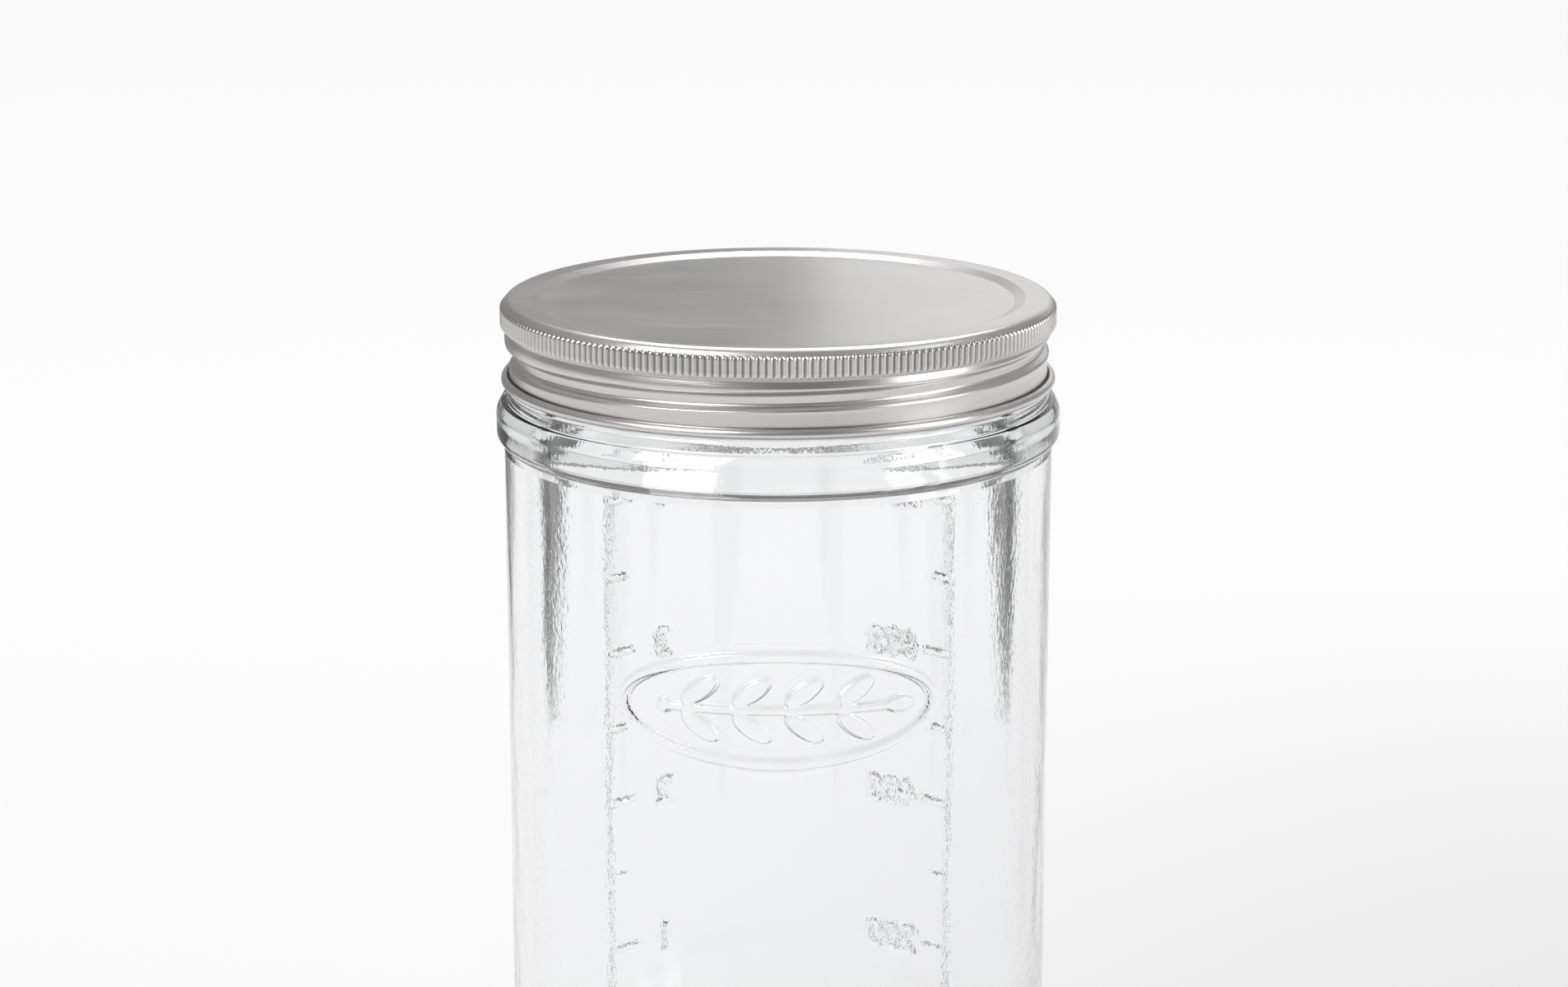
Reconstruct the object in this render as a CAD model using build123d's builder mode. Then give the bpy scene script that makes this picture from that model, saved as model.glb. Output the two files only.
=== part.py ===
from build123d import *
import os
from math import atan2, cos, degrees, pi, radians, sin

# Wide preserving jar for fermenting vegetables: a pressed glass jar, a pressed
# steel screw lid and the silicone ring that seals them. Millimetres, +Z up,
# origin at the centre of the base. The embossed front faces -Y, the scales
# are on the back.

# Jar body
body_radius = 49.65
body_wall = 4.0
base_thickness = 6.0
heel_radius = 8.0
inner_heel_radius = 7.0
bead_bottom_height = 148.8

# Hollow under the base, and the ring that the jar stands on, measured in from the body
punt_inset = 13.15
punt_depth = 1.5
punt_rounding = 2.0
bearing_inset = 10.65
bearing_edge_rounding = 0.8

# Collar under the lid: a rounded bead with a narrow step on top of it
bead_overhang = 1.35
bead_height = 7.8
bead_foot_inset = 0.25
bead_foot_rise = 1.2
bead_foot_rounding = 0.3
bead_root_rounding = 0.5
bead_top_drop = 1.8
bead_top_inset = 1.0
bead_lower_rounding = 2.0
bead_upper_rounding = 2.4
bead_edge_rounding = 0.4
collar_overhang = 2.7
collar_height = 2.4
collar_rounding = 0.7

# Neck, rim and the shoulder inside
neck_inset = 3.35
neck_wall = 4.3
neck_root_rounding = 0.8
rim_rounding = 1.4
shoulder_fall = 9.0
shoulder_rounding = 12.0

# Lid, pressed from sheet steel
sheet = 0.45
lid_height = 15.6
panel_overhang = 0.5
panel_slope_width = 2.0
panel_depth = 0.7
panel_rounding = 0.6
lid_edge_rounding = 1.5
band_overhang = 1.1
knurl_depth = 0.35
knurl_lift = 0.05
knurl_count = 200
knurl_top_drop = 1.0
knurl_height = 4.1
skirt_step = 0.55
skirt_step_height = 0.4
skirt_step_rounding = 0.2
skirt_bulge_drop = 7.2
skirt_bulge = 0.85
skirt_lower_drop = 11.2
skirt_rounding = 3.0
hem_curl_radius = 0.95
hem_curl_angle = 280.0

# Silicone ring between the lid and the rim
seal_thickness = 1.6
seal_overhang = 0.4

# Screw thread, one start, right hand
thread_pitch = 5.0
thread_run_out_angle = 25.0
glass_thread_height = 1.2
glass_thread_root_width = 2.6
glass_thread_crest_width = 1.0
glass_thread_start_angle = -40.0
glass_thread_turns = 1.15
lid_thread_engagement = 0.6
lid_thread_crest_width = 0.9
lid_thread_root_width = 2.5
lid_thread_depth = 1.4
lid_thread_front_drop = 9.1
lid_thread_start_angle = 105.0
lid_thread_turns = 0.95

# Raised work on the glass: an oval frame round a leafy sprig, and two scales
emboss_height = 0.55
frame_width = 61.0
frame_height = 25.0
frame_line = 1.5
frame_drop = 44.8
stem_length = 40.0
stem_line = 1.1
leaf_length = 8.0
leaf_width = 3.2
leaf_lean = 35.0
leaf_pairs = 4
leaf_pitch = 9.0
leaf_rise = 3.6
scale_relief = 0.35
scale_angle = 45.0
scale_line = 1.1
scale_bottom = 20.0
scale_top_drop = 8.8
tick_length = 9.0
tick_line = 0.9
tick_volume = 100000.0
root_sink = 0.5

# Clearances between the pieces
skirt_clearance = 0.6
hem_clearance = 0.4
thread_axial_clearance = 0.3
seal_side_clearance = 1.3
seal_slope_clearance = 0.3

# Heights and radii that follow from the sizes above
ledge_height = bead_bottom_height + bead_height
collar_top = ledge_height + collar_height
lid_bottom = collar_top + hem_clearance
lid_top = lid_bottom + lid_height
rim_height = lid_top - sheet - seal_thickness
inner_radius = body_radius - body_wall
bead_radius = body_radius + bead_overhang
neck_radius = body_radius - neck_inset
neck_bore_radius = neck_radius - neck_wall
glass_thread_radius = neck_radius + glass_thread_height
lid_thread_radius = glass_thread_radius - lid_thread_engagement
panel_radius = neck_bore_radius + panel_overhang
skirt_radius = glass_thread_radius + skirt_clearance + sheet
hem_radius = skirt_radius - sheet + 2 * hem_curl_radius
skirt_bulge_radius = skirt_radius + skirt_bulge
band_radius = skirt_radius + band_overhang
lid_radius = band_radius + knurl_lift + knurl_depth
frame_centre_height = bead_bottom_height - frame_drop
scale_top = bead_bottom_height - scale_top_drop
tick_pitch = tick_volume / (pi * inner_radius**2)
tick_count = int((scale_top - base_thickness) / tick_pitch)

# Closed, the two threads stand flank to flank: the height between their middles
flank_run = (glass_thread_root_width - glass_thread_crest_width) / 2 / glass_thread_height
thread_spacing = (
    (glass_thread_crest_width + lid_thread_crest_width) / 2
    + flank_run * lid_thread_engagement
    + thread_axial_clearance
)
front_angle = 270.0

os.makedirs("parts", exist_ok=True)


def tangent_plane(angle):
    """The upright plane that touches the jar's wall at an angle: x sideways, y up."""
    outward = Vector(cos(radians(angle)), sin(radians(angle)), 0)
    sideways = (-sin(radians(angle)), cos(radians(angle)), 0)
    return Plane(origin=outward * body_radius, x_dir=sideways, z_dir=outward)


def wall_skin(relief):
    """A thin tube on the jar's straight wall that stands out from it by relief."""
    with BuildPart() as skin:
        with BuildSketch():
            Circle(body_radius + relief)
            Circle(body_radius - root_sink, mode=Mode.SUBTRACT)
        extrude(amount=bead_bottom_height)
    return skin.part


def thread_path(radius, run_out, turns):
    """A right-hand helix that leaves its radius by run_out on a short cone at each end."""
    run_turns = thread_run_out_angle / 360
    stretches = [
        (radius + run_out, radius, run_turns),
        (radius, radius, turns),
        (radius, radius + run_out, run_turns),
    ]
    edges = []
    turned = 0
    for start_radius, end_radius, stretch_turns in stretches:
        rise = thread_pitch * stretch_turns
        lean = degrees(atan2(end_radius - start_radius, rise))
        slant_pitch = thread_pitch / cos(radians(lean))
        stretch = Helix(slant_pitch, rise, start_radius, cone_angle=lean, mode=Mode.PRIVATE)
        edges.append((Location((0, 0, thread_pitch * turned), (0, 0, 1), 360 * turned) * stretch).edge())
        turned += stretch_turns
    return Wire(edges)


def add_thread(profile, radius, run_out, front_height, start_angle, turns):
    """Sweep a thread's profile, given as points out from its radius, along its helix.

    Both ends run out: there the thread moves by run_out into the wall that bears it.
    """
    with BuildSketch(Plane.XZ, mode=Mode.PRIVATE) as section:
        with BuildLine():
            Polyline([(radius + run_out + out, up) for out, up in profile], close=True)
        make_face()
    path = thread_path(radius, run_out, turns)
    thread = sweep(section.sketch, path=path, is_frenet=True, mode=Mode.PRIVATE)
    first_angle = start_angle - thread_run_out_angle
    first_height = front_height + thread_pitch * (first_angle - front_angle) / 360
    add(Location((0, 0, first_height), (0, 0, 1), first_angle) * thread)


def lid_profile(inset, bottom):
    """Draw the closed half section inside the lid's skin, at an inset, down to a height."""
    step_height = lid_top - knurl_top_drop - knurl_height
    corners = [
        ((0, lid_top - panel_depth - inset), 0),
        ((panel_radius, lid_top - panel_depth - inset), panel_rounding),
        ((panel_radius + panel_slope_width, lid_top - inset), panel_rounding),
        ((band_radius - inset, lid_top - inset), lid_edge_rounding - inset),
        ((band_radius - inset, step_height), skirt_step_rounding),
        ((band_radius - skirt_step - inset, step_height - skirt_step_height), skirt_step_rounding),
        ((skirt_bulge_radius - inset, lid_top - skirt_bulge_drop), skirt_rounding),
        ((skirt_radius - inset, lid_top - skirt_lower_drop), skirt_rounding),
        ((skirt_radius - inset, bottom), 0),
    ]
    points = [point for point, rounding in corners]
    outline = FilletPolyline(*points, radius=[rounding for point, rounding in corners[1:-1]])
    Line(outline @ 1, (0, bottom))
    Line((0, bottom), outline @ 0)


# The jar: turned outline, bore, outside thread and raised work
front_skin = wall_skin(emboss_height)
back_skin = wall_skin(scale_relief)

with BuildPart() as front_relief:
    with BuildSketch(Plane.XZ.offset(body_radius + emboss_height)):
        with Locations((0, frame_centre_height)):
            Ellipse(frame_width / 2, frame_height / 2)
            Ellipse(frame_width / 2 - frame_line, frame_height / 2 - frame_line, mode=Mode.SUBTRACT)
            SlotOverall(stem_length, stem_line)
        for index in range(leaf_pairs):
            along = (index - (leaf_pairs - 1) / 2) * leaf_pitch
            for side in (-1, 1):
                leaf_place = (along, frame_centre_height + side * leaf_rise, 0)
                with Locations(Location(leaf_place, side * leaf_lean)):
                    Ellipse(leaf_length / 2, leaf_width / 2)
    extrude(amount=-body_radius)
    add(front_skin, mode=Mode.INTERSECT)

with BuildPart() as back_scales:
    for side in (-1, 1):
        with BuildSketch(tangent_plane(90 + side * scale_angle).offset(scale_relief)):
            with Locations((0, (scale_bottom + scale_top) / 2)):
                Rectangle(scale_line, scale_top - scale_bottom)
            for tick in range(1, tick_count + 1):
                with Locations((-side * tick_length / 2, base_thickness + tick * tick_pitch)):
                    Rectangle(tick_length, tick_line)
        extrude(amount=-body_wall)
    add(back_skin, mode=Mode.INTERSECT)

glass_root_half = glass_thread_root_width / 2
glass_crest_half = glass_thread_crest_width / 2

with BuildPart() as glass_thread:
    add_thread(
        [
            (-root_sink, -glass_root_half),
            (0, -glass_root_half),
            (glass_thread_height, -glass_crest_half),
            (glass_thread_height, glass_crest_half),
            (0, glass_root_half),
            (-root_sink, glass_root_half),
        ],
        neck_radius,
        -glass_thread_height - root_sink / 2,
        lid_top - lid_thread_front_drop + thread_spacing,
        glass_thread_start_angle,
        glass_thread_turns,
    )

with BuildPart() as glass_jar:
    with BuildSketch(Plane.XZ):
        with BuildLine():
            corners = [
                ((0, punt_depth), 0),
                ((body_radius - punt_inset, punt_depth), punt_rounding),
                ((body_radius - bearing_inset, 0), bearing_edge_rounding),
                ((body_radius, 0), heel_radius),
                ((body_radius, bead_bottom_height - bead_foot_rise), bead_root_rounding),
                ((body_radius - bead_foot_inset, bead_bottom_height), bead_foot_rounding),
                ((bead_radius, bead_bottom_height + bead_foot_rise), bead_lower_rounding),
                ((bead_radius, ledge_height - bead_top_drop), bead_upper_rounding),
                ((bead_radius - bead_top_inset, ledge_height), bead_edge_rounding),
                ((neck_radius + collar_overhang, ledge_height), bead_edge_rounding),
                ((neck_radius + collar_overhang, collar_top), collar_rounding),
                ((neck_radius, collar_top), neck_root_rounding),
                ((neck_radius, rim_height), rim_rounding),
                ((neck_bore_radius, rim_height), rim_rounding),
                ((neck_bore_radius, collar_top), shoulder_rounding),
                ((inner_radius, collar_top - shoulder_fall), shoulder_rounding),
                ((inner_radius, base_thickness), inner_heel_radius),
                ((0, base_thickness), 0),
            ]
            points = [point for point, rounding in corners]
            outline = FilletPolyline(*points, radius=[rounding for point, rounding in corners[1:-1]])
            Line(outline @ 1, outline @ 0)
        make_face()
    revolve(axis=Axis.Z)
    add(glass_thread.part)
    add(front_relief.part)
    add(back_scales.part)

# The lid: a pressed shell with a rolled thread, a knurled edge and a curled hem
lid_crest_half = lid_thread_crest_width / 2
lid_root_half = lid_thread_root_width / 2
lid_flank_run = (lid_root_half - lid_crest_half) / lid_thread_depth
groove_crest_half = lid_crest_half + lid_flank_run * sheet - sheet * (1 + lid_flank_run**2) ** 0.5
groove_reach = lid_radius - lid_thread_radius
groove_root_half = groove_crest_half + lid_flank_run * (groove_reach - sheet)

with BuildPart() as lid_ridge:
    add_thread(
        [
            (0, -lid_crest_half),
            (0, lid_crest_half),
            (lid_thread_depth, lid_root_half),
            (lid_thread_depth + 2 * root_sink, lid_root_half),
            (lid_thread_depth + 2 * root_sink, -lid_root_half),
            (lid_thread_depth, -lid_root_half),
        ],
        lid_thread_radius,
        lid_thread_depth + root_sink,
        lid_top - lid_thread_front_drop,
        lid_thread_start_angle,
        lid_thread_turns,
    )

with BuildPart() as lid_groove:
    add_thread(
        [
            (sheet, -groove_crest_half),
            (sheet, groove_crest_half),
            (groove_reach, groove_root_half),
            (groove_reach, -groove_root_half),
        ],
        lid_thread_radius,
        lid_thread_depth + root_sink,
        lid_top - lid_thread_front_drop,
        lid_thread_start_angle,
        lid_thread_turns,
    )

with BuildPart() as lid_cavity:
    with BuildSketch(Plane.XZ):
        with BuildLine():
            lid_profile(sheet, lid_bottom - hem_curl_radius)
        make_face()
    revolve(axis=Axis.Z)
    add(lid_ridge.part, mode=Mode.SUBTRACT)

with BuildPart() as knurled_edge:
    with BuildSketch(Plane.XY.offset(lid_top - knurl_top_drop - knurl_height)):
        with BuildLine():
            radii = [lid_radius - knurl_depth * (index % 2) for index in range(2 * knurl_count)]
            turn = pi / knurl_count
            points = [(r * cos(turn * n), r * sin(turn * n)) for n, r in enumerate(radii)]
            Polyline(points, close=True)
        make_face()
        Circle(band_radius - sheet / 2, mode=Mode.SUBTRACT)
    extrude(amount=knurl_height)

with BuildPart() as lid_shell:
    with BuildSketch(Plane.XZ):
        with BuildLine():
            lid_profile(0, lid_bottom + hem_curl_radius)
        make_face()
    revolve(axis=Axis.Z)
    add(lid_cavity.part, mode=Mode.SUBTRACT)
    add(lid_groove.part, mode=Mode.SUBTRACT)
    with BuildSketch(Plane.XZ):
        with BuildLine():
            curl_centre = (hem_radius - hem_curl_radius, lid_bottom + hem_curl_radius)
            CenterArc(curl_centre, hem_curl_radius - sheet / 2, 180, hem_curl_angle)
        trace(line_width=sheet)
    revolve(axis=Axis.Z)
    add(knurled_edge.part, clean=False)

# The silicone ring, under the raised rim of the lid
with BuildPart() as lid_seal:
    with BuildSketch(Plane.XZ):
        with BuildLine():
            slope_run = seal_slope_clearance * panel_slope_width / panel_depth
            seal_inner = neck_bore_radius - seal_overhang
            seal_outer = band_radius - sheet - seal_side_clearance
            seal_top = rim_height + seal_thickness
            seal_lip = seal_top - panel_depth - seal_slope_clearance
            Polyline(
                (seal_inner, rim_height),
                (seal_outer, rim_height),
                (seal_outer, seal_top),
                (panel_radius + panel_slope_width + slope_run, seal_top),
                (panel_radius, seal_lip),
                (seal_inner, seal_lip),
                close=True,
            )
        make_face()
    revolve(axis=Axis.Z)

for name, piece in (("glass_jar", glass_jar), ("lid_shell", lid_shell), ("lid_seal", lid_seal)):
    piece.part.label = name
    export_step(piece.part, f"parts/{name}.step")
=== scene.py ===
"""Looks of a wide preserving jar with a pressed steel screw lid and a silicone ring."""

import math

import bmesh
import bpy
from bpy.props import FloatProperty, FloatVectorProperty, IntProperty, PointerProperty
from mathutils import Matrix, Vector, noise
from mathutils.bvhtree import BVHTree


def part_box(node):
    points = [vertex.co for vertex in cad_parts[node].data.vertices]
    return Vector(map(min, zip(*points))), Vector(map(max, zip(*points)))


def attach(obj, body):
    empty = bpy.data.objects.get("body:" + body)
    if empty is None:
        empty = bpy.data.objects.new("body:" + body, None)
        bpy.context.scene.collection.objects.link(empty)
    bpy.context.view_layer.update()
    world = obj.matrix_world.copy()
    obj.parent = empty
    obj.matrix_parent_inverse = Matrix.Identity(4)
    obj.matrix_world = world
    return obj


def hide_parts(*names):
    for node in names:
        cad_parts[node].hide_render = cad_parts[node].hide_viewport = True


bl_info = {
    "name": "Preserving jar",
    "version": (1, 0, 0),
    "blender": (4, 5, 0),
    "location": "View3D > Sidebar > Jar",
    "description": "Builds the glass, the screw lid and the seal of a preserving jar",
    "category": "Object",
}

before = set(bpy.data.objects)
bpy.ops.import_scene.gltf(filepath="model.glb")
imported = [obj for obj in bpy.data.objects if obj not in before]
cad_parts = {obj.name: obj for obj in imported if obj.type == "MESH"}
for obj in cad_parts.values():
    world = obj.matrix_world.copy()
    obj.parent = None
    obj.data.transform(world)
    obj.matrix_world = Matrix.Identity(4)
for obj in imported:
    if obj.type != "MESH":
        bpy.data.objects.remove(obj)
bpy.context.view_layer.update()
JAR_LOW, JAR_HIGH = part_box("glass_jar")
LID_LOW, LID_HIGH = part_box("lid_shell")
SEAL_LOW, SEAL_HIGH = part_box("lid_seal")

MM = 0.001
MERGE = 0.001 * MM
AXIS = Vector((0, 0, 1))
FRONT_ANGLE = math.radians(270)


def length(name, description, default):
    """A size in metres, given in millimetres."""
    return FloatProperty(name=name, description=description, default=default * MM, unit="LENGTH", precision=5)


def angle(name, description, default):
    """An angle, given in degrees."""
    return FloatProperty(name=name, description=description, default=math.radians(default), subtype="ANGLE")


def colour(name, description, default):
    """A colour in linear light."""
    return FloatVectorProperty(
        name=name, description=description, default=default, subtype="COLOR", min=0, max=1
    )


class JarSizes(bpy.types.PropertyGroup):
    """Sizes of the pressed glass jar."""

    body_radius: length("Body radius", "Outside of the straight wall", 49.65)
    wall: length("Wall", "Thickness of the glass", 4.0)
    base: length("Base", "Thickness of the floor of the jar", 6.0)
    heel: length("Heel", "Rounding at the foot", 8.0)
    inner_heel: length("Inner heel", "Rounding inside the foot", 7.0)
    punt_depth: length("Punt depth", "Hollow under the base", 1.5)
    bead_bottom: length("Bead height", "Where the collar bead starts", 148.8)
    bead_height: length("Bead size", "From the bead's foot to the ledge", 7.8)
    collar_height: length("Collar step", "From the ledge to the neck", 2.4)
    neck_radius: length("Neck radius", "Outside of the neck", 46.3)
    bore_radius: length("Bore radius", "Inside of the neck", 42.0)
    thread_height: length("Thread height", "How far the thread stands out", 1.2)
    emboss_height: length("Emboss height", "How far the sprig stands out", 0.85)
    emboss_middle: length("Emboss middle", "Height of the sprig's middle", 112.0)
    scale_relief: length("Scale relief", "How far scale lines and numbers stand out", 0.5)
    waviness: length("Waviness", "How uneven the inside of the wall is", 0.05)


class LidSizes(bpy.types.PropertyGroup):
    """Sizes of the screw lid."""

    sheet: length("Sheet", "Thickness of the steel", 0.45)
    panel_radius: length("Panel radius", "Where the sunk panel meets its slope", 42.5)
    panel_depth: length("Panel depth", "How far the panel is sunk", 0.7)
    rib_depth: length("Rib depth", "How far the ribs of the grip stand out", 0.5)
    rib_count: IntProperty(name="Ribs", description="Ribs around the grip", default=240, min=24)
    bulge_radius: length("Bulge radius", "Widest part of the upper bead", 49.4)
    skirt_radius: length("Skirt radius", "Outside of the lower bead", 48.55)
    curl_radius: length("Hem radius", "Radius of the rolled hem", 0.95)
    thread_depth: length("Thread depth", "How deep the thread is rolled in", 1.55)


class FinishColours(bpy.types.PropertyGroup):
    """Colours of the three materials and of the stage."""

    glass: colour("Glass", "Tint of the glass", (0.985, 0.988, 0.988))
    steel: colour("Steel", "Colour of the steel", (0.64, 0.625, 0.61))
    silicone: colour("Silicone", "Colour of the seal", (0.80, 0.81, 0.79))
    backdrop: colour("Backdrop", "Colour of floor and background", (0.985, 0.980, 0.992))


class StageSizes(bpy.types.PropertyGroup):
    """Camera and floor."""

    focal_pixels: FloatProperty(name="Focal length", description="In pixels of the image", default=4444)
    pitch: angle("Pitch", "How far the camera looks down", 13.92)
    depth: length("Depth", "From the camera to the point it is set by", 665)
    aim_height: length("Aim height", "Height of that point on the axis", 146.5)
    floor_radius: length("Floor", "Radius of the floor", 6000)
    flag_angle: angle("Flag angle", "Between a flag and the main direction beside it", 22.5)
    flag_distance: length("Flag distance", "From the axis to a flag", 300)
    flag_width: length("Flag width", "Width of a flag", 40)
    flag_foot: length("Flag foot", "Height of a flag's lower edge", 5)
    flag_top: length("Flag top", "Height of a flag's upper edge", 400)


def sizes_of(context):
    """The add-on's settings of the scene."""
    return context.scene.jar_sizes, context.scene.lid_sizes, context.scene.finish_colours


class Socket:
    """A shader socket that can stand in a sum."""

    def __init__(self, finish, socket):
        self.finish = finish
        self.socket = socket

    def maths(self, operation, *values):
        return self.finish.node("ShaderNodeMath", {"operation": operation}, list(values))

    def __add__(self, other):
        return self.maths("ADD", self, other)

    def __sub__(self, other):
        return self.maths("SUBTRACT", self, other)

    def __mul__(self, other):
        return self.maths("MULTIPLY", self, other)

    def __pow__(self, other):
        return self.maths("POWER", self, other)

    def __radd__(self, other):
        return self.maths("ADD", other, self)

    def __rsub__(self, other):
        return self.maths("SUBTRACT", other, self)

    def __rmul__(self, other):
        return self.maths("MULTIPLY", other, self)


class Finish:
    """A material or a world whose nodes are written as Python calls."""

    def __init__(self, holder):
        self.holder = holder
        holder.use_nodes = True
        self.tree = holder.node_tree
        self.tree.nodes.clear()

    def node(self, kind, settings=None, values=(), output=0):
        """Add a node: its settings first, then a value or a link for each named or numbered socket."""
        made = self.tree.nodes.new(kind)
        for name, value in (settings or {}).items():
            if name == "stops":
                for index, (place, shade) in enumerate(value):
                    ramp = made.color_ramp.elements
                    stop = ramp[index] if index < 2 else ramp.new(place)
                    stop.position = place
                    stop.color = (shade, shade, shade, 1)
            else:
                setattr(made, name, value)
        pairs = values.items() if isinstance(values, dict) else enumerate(values)
        for key, value in pairs:
            if isinstance(value, Socket):
                self.tree.links.new(value.socket, made.inputs[key])
            else:
                made.inputs[key].default_value = value
        return Socket(self, made.outputs[output])

    def place(self):
        """Object coordinates, as three sockets."""
        whole = self.node("ShaderNodeTexCoord", output="Object")
        return whole, [self.node("ShaderNodeSeparateXYZ", values=[whole], output=index) for index in range(3)]

    def noise(self, vector, scale, detail=2.0, roughness=0.5):
        values = {"Vector": vector, "Scale": scale, "Detail": detail, "Roughness": roughness}
        return self.node("ShaderNodeTexNoise", values=values)

    def vector(self, x, y, z):
        return self.node("ShaderNodeCombineXYZ", values=[x, y, z])

    def bump(self, height, distance, strength=1.0):
        values = {"Height": height, "Distance": distance, "Strength": strength}
        return self.node("ShaderNodeBump", values=values)

    def surface(self, shader):
        in_world = isinstance(self.holder, bpy.types.World)
        kind = "ShaderNodeOutputWorld" if in_world else "ShaderNodeOutputMaterial"
        self.node_out = self.tree.nodes.new(kind)
        self.tree.links.new(shader.socket, self.node_out.inputs["Surface"])


def opaque(shade):
    """A colour with full alpha."""
    return (*shade, 1)


GLASS_DENSITY = 12.0
GLASS_DEPTH_TINT = (0.60, 0.62, 0.63, 1)


def clear_glass(shade):
    """Clear pressed glass with the fine grain and slow waves that a mould leaves."""
    finish = Finish(bpy.data.materials.new("clear_glass"))
    _, (x, y, z) = finish.place()
    stretched = finish.vector(x * 160, y * 160, z * 60)
    waves = finish.noise(stretched, 1.0, 1.0)
    grain = finish.noise(finish.vector(x, y, z * 0.5), 1400.0, 2.0)
    height = waves * 0.7 + grain * 0.3
    values = {
        "Base Color": opaque(shade),
        "Roughness": 0.0,
        "IOR": 1.5,
        "Transmission Weight": 1.0,
        "Normal": finish.bump(height, 0.06 * MM, 0.6),
    }
    finish.surface(finish.node("ShaderNodeBsdfPrincipled", values=values))
    values = {"Color": GLASS_DEPTH_TINT, "Density": GLASS_DENSITY}
    depth = finish.node("ShaderNodeVolumeAbsorption", values=values)
    finish.tree.links.new(depth.socket, finish.node_out.inputs["Volume"])
    return finish.holder


def satin_steel(shade, rib_count, rib_low, rib_high):
    """Stainless sheet: grain along the panel and around the skirt, handling marks, and painted shade
    darkening the rib gaps.
    """
    finish = Finish(bpy.data.materials.new("satin_steel"))
    place, (x, y, z) = finish.place()
    around = finish.node("ShaderNodeMath", {"operation": "ARCTAN2"}, [y, x])
    straight = finish.noise(finish.vector(x * 30, y * 2600, z * 30), 1.0, 3.0, 0.6)
    ringed = finish.noise(finish.vector(around * 3, z * 5200, 0.0), 1.0, 3.0, 0.6)
    geometry = finish.node("ShaderNodeNewGeometry", output="Normal")
    upright = finish.node("ShaderNodeSeparateXYZ", values=[geometry], output=2)
    flatness = finish.node(
        "ShaderNodeMapRange", {"clamp": True}, {0: upright, 1: 0.85, 2: 0.98, 3: 0.0, 4: 1.0}
    )
    grain = straight * flatness + ringed * (1 - flatness)
    cloud = finish.noise(place, 55.0, 4.0)
    tone = finish.node(
        "ShaderNodeMix",
        {"data_type": "RGBA"},
        {
            0: grain * 0.5 + cloud * 0.5,
            6: opaque([c * 0.86 for c in shade]),
            7: opaque([min(c * 1.10, 1) for c in shade]),
        },
        output=2,
    )
    # Painted shade: the recesses between the grip's ribs are darkened towards a dark grey, on the skirt only.
    painted_gap_shade = (0.5 - finish.node("ShaderNodeMath", {"operation": "COSINE"}, [around * rib_count]) * 0.5) ** 4
    soft = 0.3 * MM
    above = finish.node("ShaderNodeMapRange", {"clamp": True}, {0: z, 1: rib_low, 2: rib_low + soft})
    below = finish.node("ShaderNodeMapRange", {"clamp": True}, {0: z, 1: rib_high, 2: rib_high - soft})
    painted_gap_shade = painted_gap_shade * above * below * (1 - flatness)
    gap_shade_colour = opaque([c * 0.22 for c in shade])
    tone = finish.node("ShaderNodeMix", {"data_type": "RGBA"}, {0: painted_gap_shade * 0.85, 6: tone, 7: gap_shade_colour}, output=2)
    values = {
        "Base Color": tone,
        "Metallic": 1.0,
        "Roughness": 0.20 + grain * 0.14 + cloud * 0.06,
        "Normal": finish.bump(grain, 0.02 * MM, 0.8),
    }
    finish.surface(finish.node("ShaderNodeBsdfPrincipled", values=values))
    return finish.holder


def soft_silicone(shade):
    """Milky silicone rubber with a fine moulded skin."""
    finish = Finish(bpy.data.materials.new("silicone"))
    place, _ = finish.place()
    skin = finish.noise(place, 900.0, 3.0)
    cloud = finish.noise(place, 90.0, 2.0)
    tone = finish.node(
        "ShaderNodeMix",
        {"data_type": "RGBA"},
        {0: cloud, 6: opaque([c * 0.93 for c in shade]), 7: opaque(shade)},
        output=2,
    )
    values = {
        "Base Color": tone,
        "Roughness": 0.42 + skin * 0.16,
        "Subsurface Weight": 0.25,
        "Subsurface Scale": 0.002,
        "Normal": finish.bump(skin, 0.02 * MM, 0.6),
    }
    finish.surface(finish.node("ShaderNodeBsdfPrincipled", values=values))
    return finish.holder


def seen_share(finish, share):
    """One where the camera or the glass looks, less for gloss, times the share that shadows leave."""
    light_path = finish.tree.nodes.new("ShaderNodeLightPath")
    kinds = ("Is Camera Ray", "Is Glossy Ray", "Is Transmission Ray")
    rays = [Socket(finish, light_path.outputs[kind]) for kind in kinds]
    seen = finish.node("ShaderNodeMath", {"operation": "MAXIMUM"}, [rays[0], rays[1] * 0.5])
    seen = finish.node("ShaderNodeMath", {"operation": "MAXIMUM"}, [seen, rays[2]])
    return seen * share


def pale_floor(shade):
    """A pale floor that shows its own colour to the camera, with painted shade in front of the jar and to its
    right, and keeps the shadow faintly.
    """
    finish = Finish(bpy.data.materials.new("pale_floor"))
    lit = finish.node("ShaderNodeBsdfDiffuse", values={"Color": opaque([0.82] * 3)})
    _, (x, y, _) = finish.place()
    # Painted shade: the colour the floor shows darkens towards near_shade in front of and under the jar,
    # fading out behind it, and more so to the right.
    near = finish.node("ShaderNodeMath", {"operation": "ADD", "use_clamp": True}, [1.0, y * -2.2])
    beside = finish.node("ShaderNodeMath", {"operation": "ADD", "use_clamp": True}, [0.3, x * 4.0])
    near_shade = opaque([c * 0.72 for c in shade])
    painted_floor_shade = near * (0.2 + beside * 0.6)
    values = {0: painted_floor_shade, 6: opaque(shade), 7: near_shade}
    tone = finish.node("ShaderNodeMix", {"data_type": "RGBA"}, values, output=2)
    plain = finish.node("ShaderNodeEmission", values={"Color": tone})
    mixed = finish.node("ShaderNodeMixShader", values=[seen_share(finish, 0.93), lit, plain])
    finish.surface(mixed)
    return finish.holder


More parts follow.
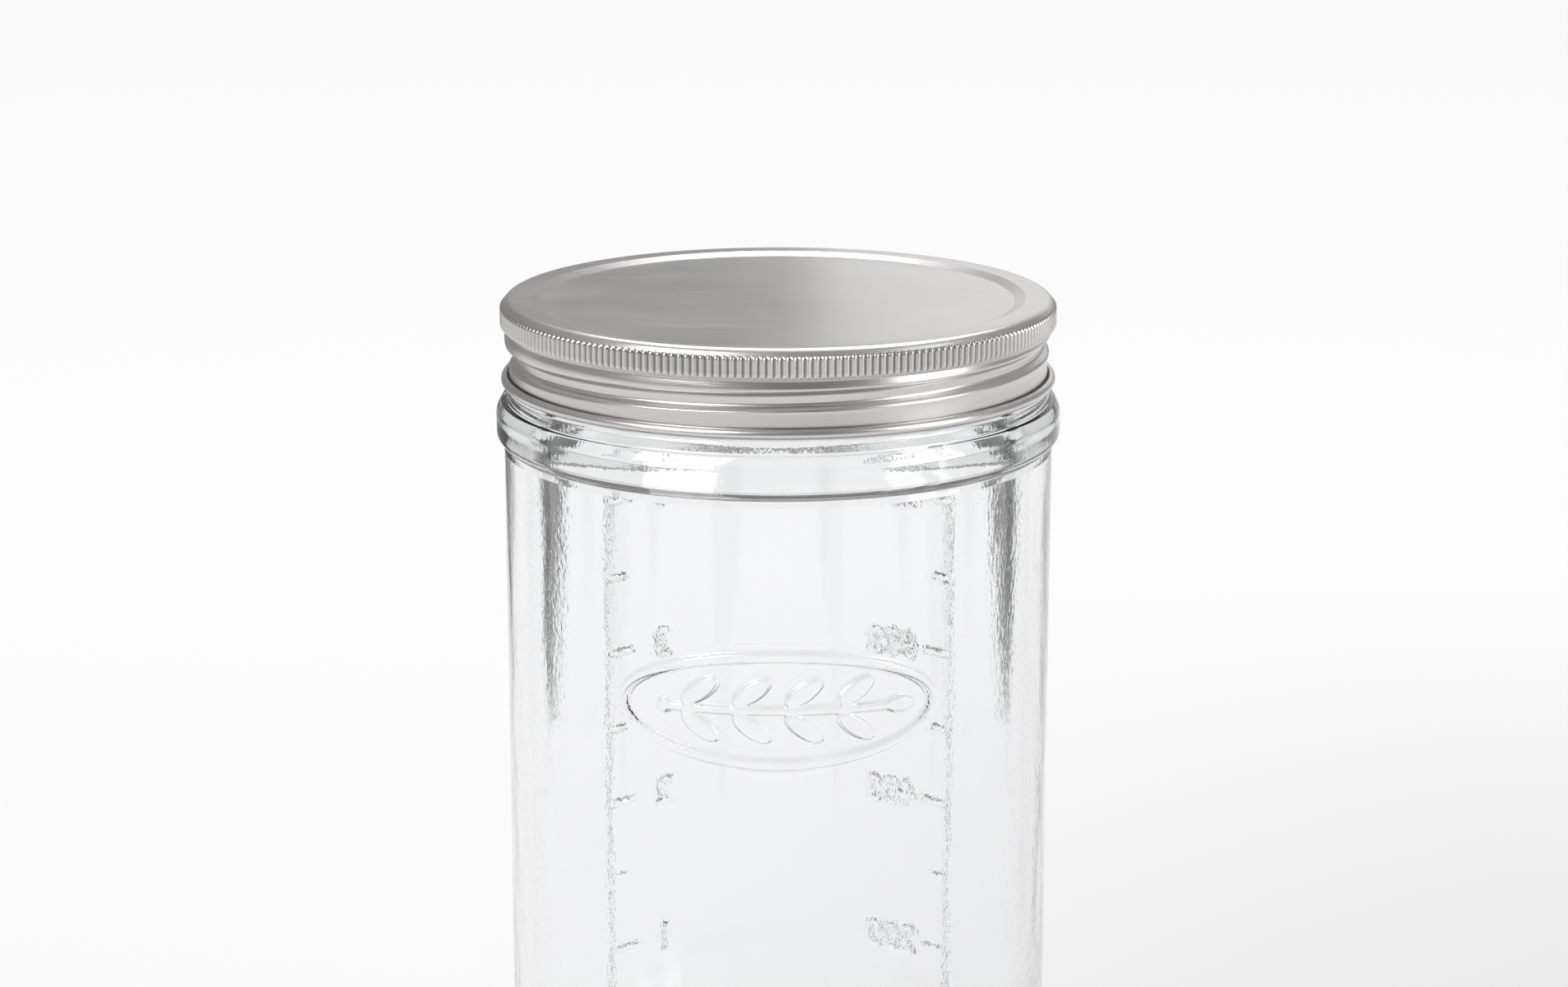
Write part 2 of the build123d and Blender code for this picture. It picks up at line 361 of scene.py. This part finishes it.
def dress(piece, material, body, node):
    """Give a finished piece its material and its body, and hide the node that it stands for."""
    piece.data.materials.append(material)
    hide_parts(node)
    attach(piece, body)


def finished(bm, name):
    """Turn a bmesh into a smooth object at the origin."""
    for face in bm.faces:
        face.smooth = True
    mesh = bpy.data.meshes.new(name)
    bm.to_mesh(mesh)
    bm.free()
    piece = bpy.data.objects.new(name, mesh)
    bpy.context.scene.collection.objects.link(piece)
    return piece


def outline(bm, corners, segments):
    """Join (radius, height, rounding) corners by edges and bevel each rounded one to an arc."""
    verts = [bm.verts.new((radius, 0, height)) for radius, height, rounding in corners]
    for pair in zip(verts, verts[1:]):
        bm.edges.new(pair)
    for index in range(1, len(corners) - 1):
        before, here, after = (Vector(corners[index + step][:2]) for step in (-1, 0, 1))
        turn = (here - before).angle(after - here)
        reach = corners[index][2] * math.tan(turn / 2)
        if reach > 0:
            bmesh.ops.bevel(
                bm, geom=[verts[index]], offset=reach, offset_type="OFFSET", segments=segments,
                profile=0.5, affect="VERTICES", material=-1,
            )


def divide(bm, longest):
    """Divide every edge that is longer than longest, a size or a function of the edge's middle."""
    for edge in bm.edges[:]:
        middle = (edge.verts[0].co + edge.verts[1].co) / 2
        limit = longest(middle) if callable(longest) else longest
        cuts = math.ceil(edge.calc_length() / limit) - 1
        if cuts > 0:
            bmesh.ops.subdivide_edges(bm, edges=[edge], cuts=cuts)


def turn_round(bm, steps):
    """Spin the drawn outline into a closed surface of revolution that faces outwards."""
    bmesh.ops.spin(
        bm, geom=bm.verts[:] + bm.edges[:], cent=(0, 0, 0), axis=AXIS, angle=math.tau, steps=steps,
        use_merge=True, use_duplicate=False,
    )
    bmesh.ops.remove_doubles(bm, verts=bm.verts[:], dist=MERGE)
    bmesh.ops.recalc_face_normals(bm, faces=bm.faces[:])


def radius_of(point):
    return math.hypot(point.x, point.y)


def push_out(vert, amount):
    """Move a vertex away from the axis."""
    share = 1 + amount / radius_of(vert.co)
    vert.co.x *= share
    vert.co.y *= share


def smooth_step(share):
    share = min(max(share, 0), 1)
    return share * share * (3 - 2 * share)


THREAD_PITCH = 5.0 * MM
THREAD_RUN_OUT = math.radians(25)
THREAD_DROP = 9.1 * MM
THREAD_SPACING = 2.05 * MM


def thread_share(point, front_height, start, turns, half_width):
    """How much of the thread's height stands at a point: 1 on its crest, 0 beside it."""
    around = math.atan2(point.y, point.x)
    most = 0
    for lap in range(-1, 4):
        turned = around + math.tau * lap
        inside = min(turned - start, start + math.tau * turns - turned)
        off = point.z - front_height - THREAD_PITCH * (turned - FRONT_ANGLE) / math.tau
        across = 1 - abs(off) / half_width
        ends = smooth_step(1 + inside / THREAD_RUN_OUT)
        most = max(most, smooth_step(across * 1.6) * ends)
    return most


def flat_bar(bm, middle, width, height):
    """A rectangle in the flat pattern."""
    made = bmesh.ops.create_grid(bm, x_segments=1, y_segments=1, size=0.5)["verts"]
    bmesh.ops.scale(bm, verts=made, vec=(width, height, 1))
    bmesh.ops.translate(bm, verts=made, vec=(*middle, 0))


def flat_oval(bm, middle, width, height, lean=0.0, segments=24):
    """A filled oval in the flat pattern."""
    made = bmesh.ops.create_circle(bm, cap_ends=True, radius=0.5, segments=segments)["verts"]
    bmesh.ops.scale(bm, verts=made, vec=(width, height, 1))
    bmesh.ops.rotate(bm, verts=made, cent=(0, 0, 0), matrix=Matrix.Rotation(lean, 3, "Z"))
    bmesh.ops.translate(bm, verts=made, vec=(*middle, 0))


def flat_ring(bm, middle, width, height, line):
    """An oval line in the flat pattern."""
    edges = []
    for inset in (0, 2 * line):
        made = bmesh.ops.create_circle(bm, cap_ends=False, radius=0.5, segments=96)["verts"]
        bmesh.ops.scale(bm, verts=made, vec=(width - inset, height - inset, 1))
        bmesh.ops.translate(bm, verts=made, vec=(*middle, 0))
        edges += list({edge for vert in made for edge in vert.link_edges})
    bmesh.ops.bridge_loops(bm, edges=edges)


def flat_number(bm, number, middle, height):
    """A number in the flat pattern."""
    curve = bpy.data.curves.new("number", "FONT")
    curve.body = str(number)
    curve.size = height
    curve.align_x = "CENTER"
    curve.align_y = "CENTER"
    curve.resolution_u = 3
    holder = bpy.data.objects.new("number", curve)
    bpy.context.scene.collection.objects.link(holder)
    bpy.context.view_layer.update()
    mesh = bpy.data.meshes.new_from_object(holder.evaluated_get(bpy.context.evaluated_depsgraph_get()))
    mesh.transform(Matrix.Translation((*middle, 0)))
    bm.from_mesh(mesh)
    bpy.data.objects.remove(holder)
    bpy.data.curves.remove(curve)
    bpy.data.meshes.remove(mesh)


def sprig_pattern(sizes):
    """The front's raised work, laid flat: an oval line round a leafy sprig."""
    bm = bmesh.new()
    up = sizes.emboss_middle
    flat_ring(bm, (0, up), 57.5 * MM, 20.5 * MM, 1.3 * MM)
    flat_bar(bm, (0, up), 38 * MM, 0.9 * MM)
    for index in range(4):
        along = (index - 1.5) * 9 * MM
        for side in (-1, 1):
            flat_oval(bm, (along, up + side * 3.2 * MM), 7.2 * MM, 2.7 * MM, side * math.radians(35))
    flat_oval(bm, (21.5 * MM, up), 5.0 * MM, 2.2 * MM)
    flat_oval(bm, (-20 * MM, up), 2.0 * MM, 2.0 * MM)
    return bm


SCALE_BOTTOM = 20 * MM
SCALE_TOP = 140 * MM
TICK_VOLUME = 100e-6
TICK_COUNT = 8
MILLILITRES = (200, 400, 600, 800)
PARTS = (1, 2, 3, 4)


def scale_pattern(sizes, side, numbers):
    """One of the scales on the back, laid flat: an upright line, its ticks and plain numbers."""
    bm = bmesh.new()
    flat_bar(bm, (0, (SCALE_BOTTOM + SCALE_TOP) / 2), 1.1 * MM, SCALE_TOP - SCALE_BOTTOM)
    rise = TICK_VOLUME / (math.pi * (sizes.body_radius - sizes.wall) ** 2)
    for tick in range(1, TICK_COUNT + 1):
        height = sizes.base + tick * rise
        tick_length = (6.0 if tick % 2 == 0 else 4.0) * MM
        flat_bar(bm, (-side * tick_length / 2, height), tick_length, 0.9 * MM)
        if tick % 2 == 0:
            flat_number(bm, numbers[tick // 2 - 1], (-side * 14.0 * MM, height), 8.0 * MM)
    return bm


class Relief:
    """A flat pattern that is raised on the jar's wall, centred at an angle round the axis."""

    def __init__(self, pattern, middle_angle, radius, height, softness):
        self.tree = BVHTree.FromBMesh(pattern)
        corners = [vert.co for vert in pattern.verts]
        reach = 2 * softness
        self.low = Vector((min(c.x for c in corners) - reach, min(c.y for c in corners) - reach))
        self.high = Vector((max(c.x for c in corners) + reach, max(c.y for c in corners) + reach))
        self.middle_angle = middle_angle
        self.radius = radius
        self.height = height
        self.softness = softness
        pattern.free()

    def flat(self, point):
        """Where a point of the wall lies on the flat pattern."""
        turned = math.atan2(point.y, point.x) - self.middle_angle
        turned = (turned + math.pi) % math.tau - math.pi
        return Vector((turned * self.radius, point.z, 0))

    def near(self, point, reach):
        """Whether the pattern comes within reach of a point of the wall."""
        flat = self.flat(point)
        inside = all(self.low[i] < flat[i] < self.high[i] for i in (0, 1))
        return inside and self.tree.find_nearest(flat, reach)[0] is not None

    def rise(self, point):
        """How far the wall stands out at a point."""
        distance = self.tree.find_nearest(self.flat(point))[3]
        return self.height * smooth_step(1 - distance / self.softness)


def jar_corners(sizes):
    """The closed half section of the glass, from the axis underneath to the axis inside."""
    body, bore = sizes.body_radius, sizes.bore_radius
    inner = body - sizes.wall
    bead_low, ledge = sizes.bead_bottom, sizes.bead_bottom + sizes.bead_height
    bead = JAR_HIGH.x
    collar_top = ledge + sizes.collar_height
    collar = sizes.neck_radius + 2.7 * MM
    rim = JAR_HIGH.z
    return [
        (0, sizes.punt_depth, 0),
        (body - 13.15 * MM, sizes.punt_depth, 2.0 * MM),
        (body - 10.65 * MM, 0, 0.8 * MM),
        (body, 0, sizes.heel),
        (body, bead_low - 1.2 * MM, 0.5 * MM),
        (body - 0.25 * MM, bead_low, 0.3 * MM),
        (bead, bead_low + 1.2 * MM, 2.0 * MM),
        (bead, ledge - 1.8 * MM, 2.4 * MM),
        (bead - 1.0 * MM, ledge, 0.4 * MM),
        (collar, ledge, 0.4 * MM),
        (collar, collar_top, 0.7 * MM),
        (sizes.neck_radius, collar_top, 0.8 * MM),
        (sizes.neck_radius, rim, 1.4 * MM),
        (bore, rim, 1.4 * MM),
        (bore, collar_top, 12.0 * MM),
        (inner, collar_top - 9.0 * MM, 12.0 * MM),
        (inner, sizes.base, sizes.inner_heel),
        (0, sizes.base, 0),
    ]


JAR_STEPS = 216
SPRIG_FLANK = 0.45 * MM
SCALE_FLANK = 0.36 * MM
RIGHT_SCALE = math.radians(45)
LEFT_SCALE = math.radians(135)


class JAR_OT_glass(bpy.types.Operator):
    """Make the glass jar with its thread, its raised sprig and its scales"""

    bl_idname = "jar.glass"
    bl_label = "Glass jar"

    def execute(self, context):
        sizes, _, colours = sizes_of(context)
        body = sizes.body_radius
        inner = body - sizes.wall
        wall_top = sizes.bead_bottom - 1.5 * MM
        neck_foot = sizes.bead_bottom + sizes.bead_height + sizes.collar_height

        def longest(middle):
            on_wall = sizes.heel < middle.z < wall_top
            if on_wall and abs(middle.x - body) < MM:
                return 1.5 * MM
            if middle.z > neck_foot and abs(middle.x - sizes.neck_radius) < MM:
                return 0.45 * MM
            return 2.4 * MM if middle.x > inner - 2 * MM else 8 * MM

        bm = bmesh.new()
        outline(bm, jar_corners(sizes), 5)
        divide(bm, longest)
        turn_round(bm, JAR_STEPS)

        reliefs = [
            Relief(sprig_pattern(sizes), FRONT_ANGLE, body, sizes.emboss_height, SPRIG_FLANK),
            Relief(scale_pattern(sizes, -1, MILLILITRES), RIGHT_SCALE, body, sizes.scale_relief, SCALE_FLANK),
            Relief(scale_pattern(sizes, 1, PARTS), LEFT_SCALE, body, sizes.scale_relief, SCALE_FLANK),
        ]

        def on_outer_wall(point):
            return 10 * MM < point.z < wall_top and radius_of(point) > body - 0.3 * MM

        edges = set()
        for face in bm.faces:
            middle = face.calc_center_median()
            if on_outer_wall(middle) and any(relief.near(middle, 1.3 * MM) for relief in reliefs):
                edges.update(face.edges)
        bmesh.ops.subdivide_edges(bm, edges=list(edges), cuts=4, use_grid_fill=True)

        thread_front = LID_HIGH.z - THREAD_DROP + THREAD_SPACING
        for vert in bm.verts:
            point = vert.co.copy()
            from_axis = radius_of(point)
            if on_outer_wall(point):
                push_out(vert, body - from_axis + max(relief.rise(point) for relief in reliefs))
            elif point.z > neck_foot and from_axis > sizes.neck_radius - 0.3 * MM:
                share = thread_share(point, thread_front, math.radians(-40), 1.15, 1.7 * MM)
                push_out(vert, sizes.thread_height * share)
            elif abs(from_axis - inner) < 0.5 * MM and sizes.base + 8 * MM < point.z < wall_top - 6 * MM:
                wave = noise.noise(Vector((point.x * 90, point.y * 90, point.z * 22)))
                wave += 0.35 * noise.noise(Vector((point.x * 260, point.y * 260, point.z * 90)))
                push_out(vert, sizes.waviness * wave)
        glass = finished(bm, "jar_glass")
        dress(glass, clear_glass(colours.glass), "jar", "glass_jar")
        return {"FINISHED"}


def lid_corners(sizes):
    """The lid's outer skin, from the axis on the panel down to where the hem starts to roll."""
    top = LID_HIGH.z
    rib_foot = LID_HIGH.x - sizes.rib_depth
    step = top - 5.1 * MM
    slope_top = sizes.panel_radius + 2.0 * MM
    return [
        (0, top - sizes.panel_depth, 0),
        (sizes.panel_radius, top - sizes.panel_depth, 0.6 * MM),
        (slope_top, top, 0.6 * MM),
        (rib_foot, top, 1.5 * MM),
        (rib_foot, step, 0.2 * MM),
        (rib_foot - 0.55 * MM, step - 0.4 * MM, 0.2 * MM),
        (sizes.bulge_radius, top - 7.2 * MM, 3.0 * MM),
        (sizes.skirt_radius, top - 11.2 * MM, 3.0 * MM),
        (sizes.skirt_radius, LID_LOW.z + sizes.curl_radius, 0),
    ]


CURL_ANGLE = math.radians(280)
CURL_STEPS = 14


class JAR_OT_lid(bpy.types.Operator):
    """Make the screw lid with its ribbed grip, rolled thread and rolled hem"""

    bl_idname = "jar.lid"
    bl_label = "Screw lid"

    def execute(self, context):
        _, sizes, colours = sizes_of(context)
        top = LID_HIGH.z
        rib_foot = LID_HIGH.x - sizes.rib_depth
        rib_top, rib_bottom = top - 1.0 * MM, top - 5.1 * MM

        def longest(middle):
            on_skirt = middle.z < rib_bottom
            on_band = middle.x > rib_foot - 0.1 * MM and middle.z < rib_top
            return 0.36 * MM if on_skirt else 0.4 * MM if on_band else 12 * MM

        bm = bmesh.new()
        outline(bm, lid_corners(sizes), 5)
        divide(bm, longest)
        hem_start = min(bm.verts, key=lambda vert: vert.co.z)
        curl_centre = (sizes.skirt_radius + sizes.curl_radius - sizes.sheet, 0, LID_LOW.z + sizes.curl_radius)
        bmesh.ops.spin(
            bm, geom=[hem_start], cent=curl_centre, axis=(0, -1, 0), angle=CURL_ANGLE, steps=CURL_STEPS,
            use_merge=False, use_duplicate=False,
        )
        turn_round(bm, 2 * sizes.rib_count)
        for vert in bm.verts:
            share = thread_share(vert.co, top - THREAD_DROP, math.radians(105), 0.95, 1.9 * MM)
            if share > 0 and LID_LOW.z + 2.2 * MM < vert.co.z < rib_bottom:
                push_out(vert, -sizes.thread_depth * share)
        bmesh.ops.recalc_face_normals(bm, faces=bm.faces[:])
        bmesh.ops.solidify(bm, geom=bm.faces[:], thickness=sizes.sheet)

        def on_band(point):
            in_height = rib_bottom - 0.01 * MM < point.z < rib_top + 0.01 * MM
            return in_height and radius_of(point) > rib_foot - 0.05 * MM

        around = [
            edge for edge in bm.edges
            if all(on_band(vert.co) for vert in edge.verts)
            and abs(edge.verts[0].co.z - edge.verts[1].co.z) < MERGE
        ]
        bmesh.ops.subdivide_edges(bm, edges=around, cuts=2, use_grid_fill=True)
        for vert in bm.verts:
            if on_band(vert.co):
                turned = math.atan2(vert.co.y, vert.co.x) * sizes.rib_count
                ends = smooth_step(min(rib_top - vert.co.z, vert.co.z - rib_bottom) / (0.5 * MM))
                push_out(vert, sizes.rib_depth * ends * (0.5 + 0.5 * math.cos(turned)) ** 0.5)
        lid = finished(bm, "lid_steel")
        steel = satin_steel(colours.steel, sizes.rib_count, rib_bottom, rib_top)
        dress(lid, steel, "lid", "lid_shell")
        return {"FINISHED"}


class JAR_OT_seal(bpy.types.Operator):
    """Make the silicone ring under the lid"""

    bl_idname = "jar.seal"
    bl_label = "Silicone ring"

    def execute(self, context):
        _, lid, colours = sizes_of(context)
        outer = SEAL_HIGH.x
        inner = 41.6 * MM
        low, high = SEAL_LOW.z, SEAL_HIGH.z
        lip = high - lid.panel_depth - 0.3 * MM
        slope = lid.panel_radius + 2.86 * MM
        corners = [
            ((inner + outer) / 2, low, 0),
            (outer, low, 0.3 * MM),
            (outer, high, 0.3 * MM),
            (slope, high, 0.5 * MM),
            (lid.panel_radius, lip, 0.5 * MM),
            (inner, lip, 0.2 * MM),
            (inner, low, 0.2 * MM),
            ((inner + outer) / 2, low, 0),
        ]
        bm = bmesh.new()
        outline(bm, corners, 4)
        bmesh.ops.remove_doubles(bm, verts=bm.verts[:], dist=MERGE)
        divide(bm, 2 * MM)
        turn_round(bm, 240)
        seal = finished(bm, "seal_ring")
        dress(seal, soft_silicone(colours.silicone), "seal", "lid_seal")
        return {"FINISHED"}


IMAGE_SIZE = (1906, 1200)
SENSOR = 36.0
AIM_PIXEL = (946, 545)


def add_camera(context, sizes):
    """The camera that sees the jar as the photograph does, from its pitch, depth and focal length."""
    camera = bpy.data.cameras.new("camera")
    camera.sensor_width = SENSOR
    camera.lens = sizes.focal_pixels / IMAGE_SIZE[0] * SENSOR
    camera.clip_start = 0.01
    camera.clip_end = 50
    holder = bpy.data.objects.new("camera", camera)
    context.scene.collection.objects.link(holder)
    forward = Vector((0, math.cos(sizes.pitch), -math.sin(sizes.pitch)))
    right = Vector((1, 0, 0))
    up = right.cross(forward)
    across = (AIM_PIXEL[0] - IMAGE_SIZE[0] / 2) / sizes.focal_pixels * sizes.depth
    above = (IMAGE_SIZE[1] / 2 - AIM_PIXEL[1]) / sizes.focal_pixels * sizes.depth
    aim = Vector((0, 0, sizes.aim_height))
    place = aim - forward * sizes.depth - right * across - up * above
    holder.matrix_world = Matrix.Translation(place) @ Matrix((right, up, -forward)).transposed().to_4x4()
    context.scene.camera = holder


def add_softbox(context, name, place, target, size, power):
    """A soft rectangular lamp that the camera doesn't see."""
    lamp = bpy.data.lights.new(name, "AREA")
    lamp.shape = "RECTANGLE"
    lamp.size, lamp.size_y = size
    lamp.energy = power
    holder = bpy.data.objects.new(name, lamp)
    context.scene.collection.objects.link(holder)
    away = Vector(place) - Vector(target)
    holder.matrix_world = Matrix.Translation(place) @ away.to_track_quat("Z", "Y").to_matrix().to_4x4()
    holder.visible_camera = False


def studio_world(shade):
    """White to the camera, bright behind the glass, a dimmer room for gloss and light."""
    finish = Finish(bpy.data.worlds.new("studio"))
    direction = finish.node("ShaderNodeTexCoord", output="Generated")
    along, height = (finish.node("ShaderNodeSeparateXYZ", values=[direction], output=axis) for axis in (1, 2))
    rays = finish.tree.nodes.new("ShaderNodeLightPath")
    seen, through = (Socket(finish, rays.outputs[name]) for name in ("Is Camera Ray", "Is Transmission Ray"))
    behind_glass = finish.node("ShaderNodeValToRGB", {"stops": ((0.1, 0.86), (0.9, 0.34))}, [height])
    room = finish.node("ShaderNodeValToRGB", {"stops": ((0.0, 0.30), (0.9, 0.52))}, [height])
    room = room * (0.8 + along * 0.35)
    light = behind_glass * through + room * (1 - through)
    studio = finish.node("ShaderNodeBackground", values=[light, 1.0])
    plain = finish.node("ShaderNodeBackground", values=[opaque(shade), 1.0])
    finish.surface(finish.node("ShaderNodeMixShader", values=[seen, studio, plain]))
    return finish.holder


def stage_card(name, bm, shade):
    """A card of one grey that only gloss and glass see."""
    card = finished(bm, name)
    finish = Finish(bpy.data.materials.new(name))
    finish.surface(finish.node("ShaderNodeEmission", values={"Color": opaque([shade] * 3)}))
    card.data.materials.append(finish.holder)
    card.visible_camera = False
    card.visible_diffuse = False
    card.visible_shadow = False
    return card


def add_flag(name, turned, sizes):
    """An upright dark card beside the jar, tapered at its foot, which draws a dark line in the glass."""
    bm = bmesh.new()
    made = bmesh.ops.create_grid(bm, x_segments=1, y_segments=7, size=0.5)["verts"]
    foot = [vert for vert in made if vert.co.y < MERGE - 0.5]
    bmesh.ops.scale(bm, verts=foot, vec=(0.1, 1, 1))
    tall = sizes.flag_top - sizes.flag_foot
    bmesh.ops.scale(bm, verts=made, vec=(sizes.flag_width, tall, 1))
    bmesh.ops.rotate(bm, verts=made, cent=(0, 0, 0), matrix=Matrix.Rotation(math.pi / 2, 3, "X"))
    bmesh.ops.translate(bm, verts=made, vec=(0, sizes.flag_distance, sizes.flag_foot + tall / 2))
    bmesh.ops.rotate(bm, verts=made, cent=(0, 0, 0), matrix=Matrix.Rotation(turned, 3, "Z"))
    stage_card(name, bm, FLAG_SHADE).visible_glossy = False


def add_card(name, middle, size, shade, lean):
    """A card over the back of the lid, which the panel reflects; lean turns it in its own plane."""
    bm = bmesh.new()
    made = bmesh.ops.create_grid(bm, x_segments=1, y_segments=1, size=0.5)["verts"]
    bmesh.ops.scale(bm, verts=made, vec=(*size, 1))
    bmesh.ops.rotate(bm, verts=made, cent=(0, 0, 0), matrix=Matrix.Rotation(lean, 3, "Z"))
    bmesh.ops.rotate(bm, verts=made, cent=(0, 0, 0), matrix=Matrix.Rotation(CARD_TILT, 3, "X"))
    bmesh.ops.translate(bm, verts=made, vec=middle)
    stage_card(name, bm, shade).visible_transmission = False


CARD_TILT = math.radians(70)
GREY_CARD = 0.30
GREY_CARD_LEAN = math.radians(-35)
BRIGHT_CARD = 0.95
FLAG_SHADE = 0.04
FLAG_COUNT = 8


class JAR_OT_stage(bpy.types.Operator):
    """Make the pale floor, the soft light and the camera"""

    bl_idname = "jar.stage"
    bl_label = "Stage"

    def execute(self, context):
        sizes = context.scene.stage_sizes
        colours = context.scene.finish_colours
        bm = bmesh.new()
        bmesh.ops.create_circle(bm, cap_ends=True, radius=sizes.floor_radius, segments=64)
        floor = finished(bm, "floor")
        floor.data.materials.append(pale_floor(colours.backdrop))

        for index in range(FLAG_COUNT):
            add_flag(f"flag_{index}", math.tau / FLAG_COUNT * index + sizes.flag_angle, sizes)
        add_card("grey_card", (-0.135, 0.20, 0.255), (0.26, 0.30), GREY_CARD, GREY_CARD_LEAN)
        add_card("bright_card", (0.13, 0.34, 0.27), (0.24, 0.16), BRIGHT_CARD, 0.0)
        context.scene.world = studio_world(colours.backdrop)

        middle = (0, 0, 0.11)
        add_softbox(context, "key", (-0.9, -0.9, 1.1), middle, (0.9, 0.9), 16)
        add_softbox(context, "fill", (1.1, -0.5, 0.6), middle, (0.6, 1.0), 8)
        add_softbox(context, "top", (0.1, 0.6, 1.3), middle, (1.2, 0.8), 12)
        add_camera(context, sizes)
        context.scene.view_settings.view_transform = "Standard"
        return {"FINISHED"}


class JAR_PT_panel(bpy.types.Panel):
    """Lists the jar's sizes and the operators that make it"""

    bl_label = "Preserving jar"
    bl_space_type = "VIEW_3D"
    bl_region_type = "UI"
    bl_category = "Jar"

    def draw(self, context):
        for group in ("jar_sizes", "lid_sizes", "finish_colours", "stage_sizes"):
            settings = getattr(context.scene, group)
            box = self.layout.box()
            for name in settings.bl_rna.properties.keys():
                if name not in ("rna_type", "name"):
                    box.prop(settings, name)
        for operator in OPERATORS:
            self.layout.operator(operator.bl_idname)


GROUPS = {
    "jar_sizes": JarSizes,
    "lid_sizes": LidSizes,
    "finish_colours": FinishColours,
    "stage_sizes": StageSizes,
}
OPERATORS = (JAR_OT_stage, JAR_OT_glass, JAR_OT_lid, JAR_OT_seal)


def register():
    for group in (*GROUPS.values(), *OPERATORS, JAR_PT_panel):
        bpy.utils.register_class(group)
    for name, group in GROUPS.items():
        setattr(bpy.types.Scene, name, PointerProperty(type=group))


def unregister():
    for name in GROUPS:
        delattr(bpy.types.Scene, name)
    for group in (JAR_PT_panel, *OPERATORS, *GROUPS.values()):
        bpy.utils.unregister_class(group)


def main():
    register()
    bpy.ops.jar.stage()
    bpy.ops.jar.glass()
    bpy.ops.jar.lid()
    bpy.ops.jar.seal()


if __name__ == "__main__":
    main()
